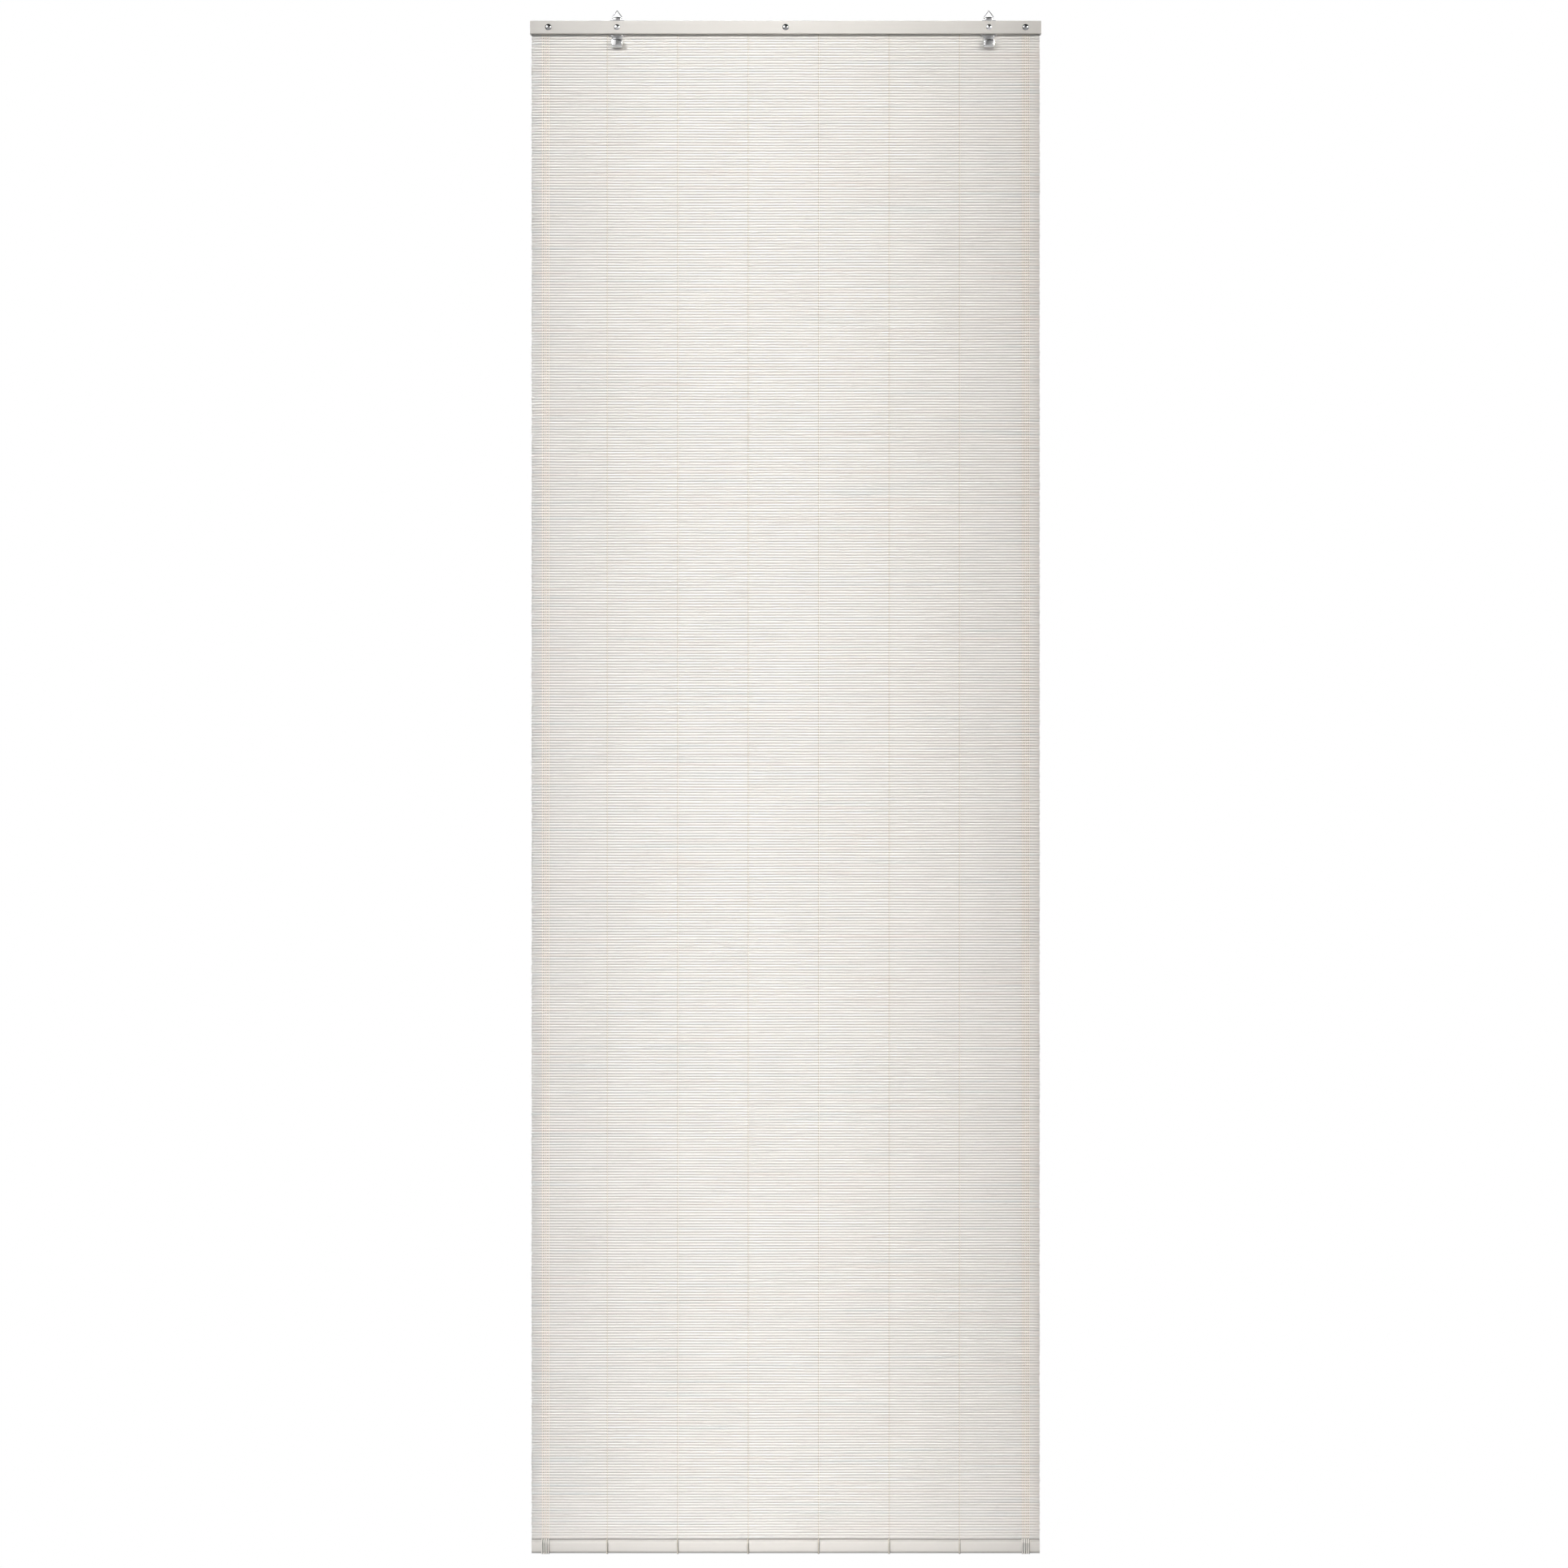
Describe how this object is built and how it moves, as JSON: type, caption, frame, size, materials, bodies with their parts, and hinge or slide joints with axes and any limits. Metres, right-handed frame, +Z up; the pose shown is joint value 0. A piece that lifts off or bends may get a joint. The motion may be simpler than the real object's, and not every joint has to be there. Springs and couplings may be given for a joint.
{
  "type": "bamboo shade",
  "caption": "Flat roll-up shade of painted bamboo reeds bound by warp strings between a clamped headrail and a rounded bottom rail, hung by hinged wire rings.",
  "frame": {"origin": "centre of the headrail's back face, the face that lies against the wall or window frame", "axes": "+Z up, +X to the right seen from the room, the front of the shade looks along -Y"},
  "size_m": [0.6, 0.0131, 1.8137],
  "materials": {
    "painted_wood": "satin off-white paint",
    "painted_reed": "satin off-white paint",
    "warp_string": "matt twisted cotton",
    "plated_sheet": "bright nickel plate",
    "plated_wire": "bright nickel plate",
    "plated_nail": "bright nickel plate"
  },
  "bodies": {
    "shade": {"headrail_front_batten": "painted_wood", "headrail_back_batten": "painted_wood", "bottom_rail": "painted_wood", "bamboo_mat": "painted_reed", "left_hanger": "plated_sheet", "right_hanger": "plated_sheet", "rail_nails": "plated_nail", "hanger_nails": "plated_nail", "left_edge_string_1": "warp_string", "left_edge_string_2": "warp_string", "left_edge_string_3": "warp_string", "left_edge_string_4": "warp_string", "middle_string_1": "warp_string", "middle_string_2": "warp_string", "middle_string_3": "warp_string", "middle_string_4": "warp_string", "middle_string_5": "warp_string", "middle_string_6": "warp_string", "right_edge_string_1": "warp_string", "right_edge_string_2": "warp_string", "right_edge_string_3": "warp_string", "right_edge_string_4": "warp_string"},
    "left_ring": {"left_triangle_ring": "plated_wire"},
    "right_ring": {"right_triangle_ring": "plated_wire"}
  },
  "joints": [
    {"name": "left_ring_swing", "type": "hinge", "parent": "shade", "child": "left_ring", "pos_m": [-0.198, -0.0058, 0.0113], "axis": [1, 0, 0], "range_deg": [-110, 110]},
    {"name": "right_ring_swing", "type": "hinge", "parent": "shade", "child": "right_ring", "pos_m": [0.2388, -0.0058, 0.0113], "axis": [1, 0, 0], "range_deg": [-110, 110]}
  ]
}
